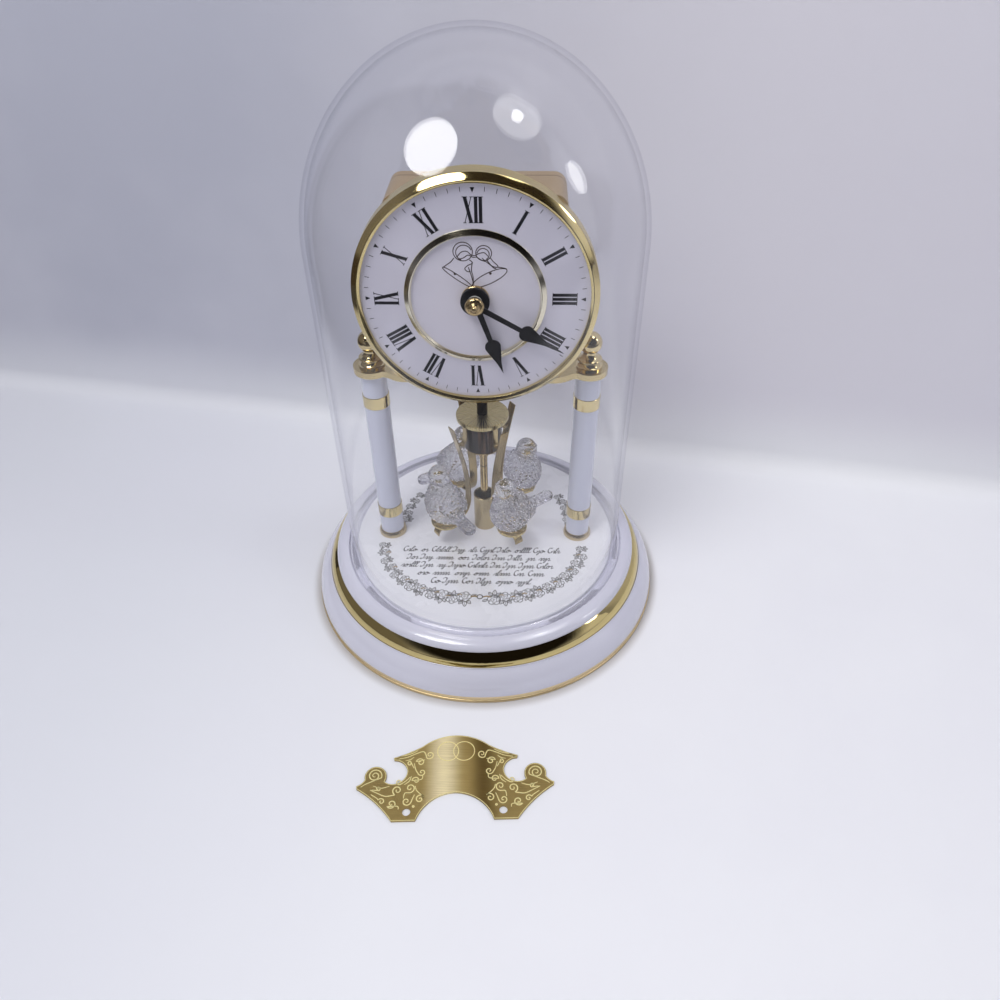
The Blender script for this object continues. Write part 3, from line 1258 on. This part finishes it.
def bird_relief(x, y, z, normal_z):
    """Outward push at a point: body facets, tail ribs and eyes."""
    push = 0.0
    off_head = unit((math.dist((x, y, z), HEAD) - 5.0) / 2.2)
    tail = unit((-9.0 - x) / 2.5)
    above_foot = unit((z - 1.0) / 1.5)
    body = off_head * (1.0 - tail) * above_foot
    if body > 0:
        facets, _ = noise.voronoi(Vector((x, y, z)) * 0.62,
                                  distance_metric="DISTANCE", exponent=2.5)
        pebbles, _ = noise.voronoi(Vector((x + 31.0, y, z)) * 1.25,
                                   distance_metric="DISTANCE", exponent=2.5)
        ridge = min(facets[1] - facets[0], 0.5)
        push += body * (1.15 * (ridge - 0.3) - 0.3 * (0.5 - min(pebbles[0], 0.5)))
    if tail > 0 and abs(normal_z) > 0.4:
        rib = math.hypot(max(TAIL_END_X - x, 0.0), y)
        push += tail * 0.16 * math.cos(2 * math.pi * rib / 1.15)
    for side in (-1, 1):
        eye = math.dist((x, y, z), (5.6, side * 3.6, 24.4)) / 1.3
        if eye < 1:
            wave = math.cos(math.pi * eye)
            push += 0.32 * wave * (0.5 + 0.5 * wave)
    return push


def bird_mesh():
    mesh = bird_blank()
    size = len(mesh.vertices) * 3
    points, normals = np.zeros(size), np.zeros(size)
    mesh.vertices.foreach_get("co", points)
    mesh.vertices.foreach_get("normal", normals)
    points, normals = points.reshape(-1, 3), normals.reshape(-1, 3)
    push = np.array([bird_relief(*p, n[2]) for p, n in zip(points, normals)])
    points += normals * push[:, None]
    points[:, 2] = np.maximum(points[:, 2], 0.02)
    mesh.vertices.foreach_set("co", (points * MM).reshape(-1))
    mesh.update()
    mesh.shade_smooth()
    return mesh


def build_birds():
    """One bird on each tray, each facing clockwise round the pendulum."""
    bird = bird_mesh()
    for label, quarter in (("front_left", 2), ("front_right", 3),
                           ("back_right", 0), ("back_left", 1)):
        azimuth = ARM_AZIMUTH + 90.0 * quarter
        mesh = bird.copy()
        mesh.transform(Matrix.Translation((0, PENDULUM_Y, 0))
                       @ Matrix.Rotation(math.radians(azimuth), 4, "Z")
                       @ Matrix.Translation((PERCH_RADIUS, 0, TRAY_TOP))
                       @ Matrix.Rotation(math.radians(-90.0), 4, "Z"))
        add_piece("bird_glass_" + label, mesh, "crystal_clear", "pendulum",
                  "crystal_bird_" + label)


build_birds()

# ------------------------------------------------------------------ stage
WALL_Y, BEND_RADIUS, BEND_STEPS = 0.106, 0.010, 12
WALL_SKEW = 0.17        # how far the wall comes forward per metre to the right
STAGE_DROP = 0.00002    # keeps the paper just under the clock's foot
STAGE_XS = [-0.46, -0.3, -0.15, 0.0, 0.3, 0.7, 1.4]


def stage_paper():
    """Pale paper, brighter to the right, with a contact shadow. Far parts look dark in
    reflections, and the back of the paper is see-through."""
    net = new_net("stage_paper")
    pos = net.obj()
    x, y, z = net.xyz(pos)
    wall = net.fade(x, rgb(185, 187, 200), rgb(223, 221, 229), span=(-0.14, 0.14))
    floor = net.fade(x, rgb(221, 223, 229), rgb(241, 242, 245), span=(-0.20, 0.05))
    col = net.fade(z, floor, wall, span=(0.003, 0.05))
    col = net.fade(net.noise(pos, scale=5.0, detail=4.0), col, rgb(226, 226, 234),
                   span=(0.35, 0.7), amount=0.3)
    reach = net.math("SQRT", net.add(net.mul(x, x), net.mul(y, y)))
    contact = net.ramp(reach, span=(0.0772, 0.0815), to=(0.42, 0.0))
    col = net.mix(contact, col, rgb(120, 108, 100))
    grain = net.noise(pos, scale=800.0)
    paper = net.principled(col, Roughness=0.5, Specular_IOR_Level=0.3,
                           Normal=net.bump(grain, strength=0.05, depth=0.0002))
    far = net.math("MAXIMUM", net.ramp(y, span=(-0.20, -0.27)), net.ramp(x, span=(-0.24, -0.30)))
    seen_dark = net.mul(net.mul(far, net.light_path()["Is Glossy Ray"]), 0.92)
    paper = net.mix_shader(seen_dark, paper,
                           net.n("ShaderNodeBsdfDiffuse", Color=rgb(40, 34, 30)))
    back = net.n("ShaderNodeNewGeometry").outputs["Backfacing"]
    return net.out(net.mix_shader(back, paper, net.n("ShaderNodeBsdfTransparent")))


def build_stage():
    """Paper sweep: a floor bending up into a wall behind the clock."""
    profile = [(-1.1, 0.0), (-0.5, 0.0), (-0.2, 0.0), (0.0, 0.0)]   # y, z
    for i in range(BEND_STEPS + 1):
        a = math.pi / 2 * i / BEND_STEPS
        profile.append((WALL_Y - BEND_RADIUS + BEND_RADIUS * math.sin(a),
                        BEND_RADIUS - BEND_RADIUS * math.cos(a)))
    profile += [(WALL_Y, 0.2), (WALL_Y, 0.5), (WALL_Y, 1.0)]
    vertices = [(x, y - WALL_SKEW * x if y > 0.05 else y, z - STAGE_DROP)
                for y, z in profile for x in STAGE_XS]
    k = len(STAGE_XS)
    faces = [(r * k + c, r * k + c + 1, (r + 1) * k + c + 1, (r + 1) * k + c)
             for r in range(len(profile) - 1) for c in range(k - 1)]
    mesh = bpy.data.meshes.new("stage_sweep")
    mesh.from_pydata(vertices, [], faces)
    mesh.update()
    mesh.shade_smooth()
    sweep = bpy.data.objects.new("stage_sweep", mesh)
    scene.collection.objects.link(sweep)
    mesh.materials.append(stage_paper())


build_stage()


# ------------------------------------------------------------------ lights
def lamp(name, aim, direction, distance, size, radiance, colour=(1, 1, 1), size_y=None):
    """Soft lamp that stands off from its aim. A flat diffuse emitter of radiance L gives
    the power L * area * pi."""
    light = bpy.data.lights.new(name, "AREA")
    light.shape, light.size = "DISK", size
    if size_y:
        light.shape, light.size_y = "ELLIPSE", size_y
    area = math.pi * size * (size_y or size) / 4
    light.energy = radiance * area * math.pi
    light.color = colour
    place = tuple(a + d * distance for a, d in zip(aim, direction))
    obj = bpy.data.objects.new(name, light)
    obj.location = place
    obj.rotation_euler = (Vector(aim) - Vector(place)).to_track_quat("-Z", "Y").to_euler()
    obj.visible_camera = False
    scene.collection.objects.link(obj)


SECOND = dict(aim=(0.0136, -0.035, 0.211), direction=(0.40, -0.05, 0.92))
lamp("key_lamp", aim=(-0.009, -0.043, 0.204), direction=(-0.391, -0.371, 0.842),
     distance=0.62, size=0.355, radiance=8.8, colour=(1.0, 0.995, 0.985))
lamp("second_lamp", **SECOND, distance=0.62, size=0.30, radiance=2.6)
lamp("second_core", **SECOND, distance=0.615, size=0.07, radiance=12.0)
lamp("side_lamp", aim=(0.031, -0.039, 0.195), direction=(0.89, -0.10, 0.44),
     distance=0.6, size=0.11, radiance=6.0, size_y=0.17)


def build_world():
    """Surroundings that differ for reflected, diffuse and transmitted rays."""
    scene.world = bpy.data.worlds.new("studio")
    net = Net(scene.world)
    view = net.n("ShaderNodeTexCoord").outputs["Generated"]
    x, _, z = net.xyz(view)

    def toward(direction):
        return net.n("ShaderNodeVectorMath", view, direction,
                     props={"operation": "DOT_PRODUCT"}).outputs["Value"]

    # reflected room: grey, a bright patch right, dim left, a dark patch high in front
    glossy = net.fade(z, rgb(176, 176, 190), rgb(66, 66, 76), span=(0.0, 0.8))
    glossy = net.fade(toward((0.93, -0.05, 0.36)), glossy, rgb(226, 226, 236),
                      span=(0.86, 0.97))
    glossy = net.fade(x, glossy, rgb(120, 116, 116), span=(-0.55, -0.8))
    glossy = net.fade(toward((0.16, -0.80, 0.58)), glossy, rgb(26, 22, 20), span=(0.52, 0.80))
    glossy = net.fade(z, glossy, rgb(64, 56, 50), span=(-0.02, -0.12))
    fill = net.fade(z, rgb(150, 150, 157), rgb(174, 174, 182), span=(-0.2, 1.0))
    ray = net.light_path()
    lit = net.mix(ray["Is Diffuse Ray"], rgb(214, 212, 224), fill)
    through = net.mix(0.2, glossy, rgb(240, 240, 246))
    lit = net.mix(ray["Is Transmission Ray"], lit, through)
    lit = net.mix(ray["Is Glossy Ray"], lit, glossy)
    net.n("ShaderNodeOutputWorld",
          Surface=net.n("ShaderNodeBackground", Color=lit, Strength=1.0))


build_world()

# ------------------------------------------------------------------ camera
CAMERA_PLACE = (0.016924, -0.267017, 0.272983)
PITCH, YAW, ROLL = -0.7134, -0.0376, -0.0115    # radians; yaw turns from +Y towards +X


def build_camera():
    data = bpy.data.cameras.new("photo_camera")
    data.sensor_fit = "HORIZONTAL"
    data.sensor_width = 36.0
    data.lens = 28.83096
    data.shift_x = 0.0005
    data.clip_start, data.clip_end = 0.005, 20.0
    camera = bpy.data.objects.new("photo_camera", data)
    forward = Vector((math.sin(YAW) * math.cos(PITCH), math.cos(YAW) * math.cos(PITCH),
                      math.sin(PITCH)))
    level = Vector((math.cos(YAW), -math.sin(YAW), 0.0))
    upright = level.cross(forward)
    right = math.cos(ROLL) * level + math.sin(ROLL) * upright
    up = -math.sin(ROLL) * level + math.cos(ROLL) * upright
    turn = Matrix((right, up, -forward)).transposed()
    camera.matrix_world = Matrix.Translation(CAMERA_PLACE) @ turn.to_4x4()
    scene.collection.objects.link(camera)
    scene.camera = camera
    scene.view_settings.view_transform = "Standard"


build_camera()
